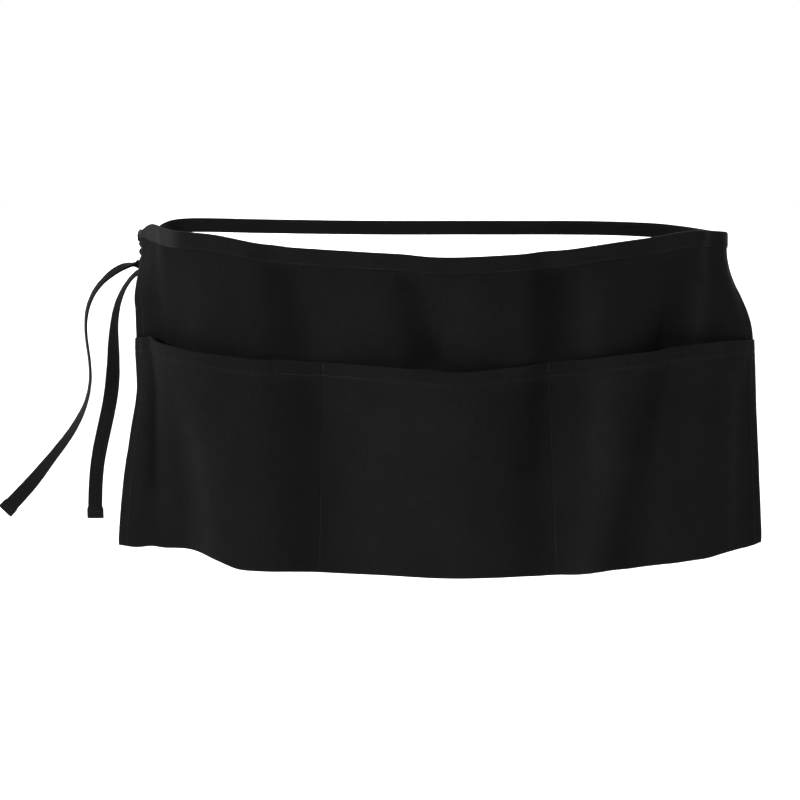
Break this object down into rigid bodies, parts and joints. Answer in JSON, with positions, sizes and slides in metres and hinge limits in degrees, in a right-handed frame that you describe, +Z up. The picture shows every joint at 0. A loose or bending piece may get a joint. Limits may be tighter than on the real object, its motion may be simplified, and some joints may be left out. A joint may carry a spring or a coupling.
{
  "type": "waist apron",
  "caption": "Short waist apron in worn form, with a bound waist edge, a row of open pockets across the front, and ties that run round the back and knot at one corner.",
  "frame": {"origin": "middle of the waist line, where the wearer's waist holds the apron: both ends of the waistband lie at y = 0 and its upper edge runs about z = 0", "axes": "+X towards the end of the waistband without the knot, -Y forward, the way the panel bows, +Z up"},
  "size_m": [0.7032, 0.2153, 0.3093],
  "materials": {
    "cloth": "matt black twill",
    "tape": "matt black folded tape"
  },
  "bodies": {
    "root": {"body_panel": "cloth", "pocket_panel": "cloth", "waistband": "tape", "tie_right": "tape", "tie_left": "tape"}
  },
  "joints": []
}
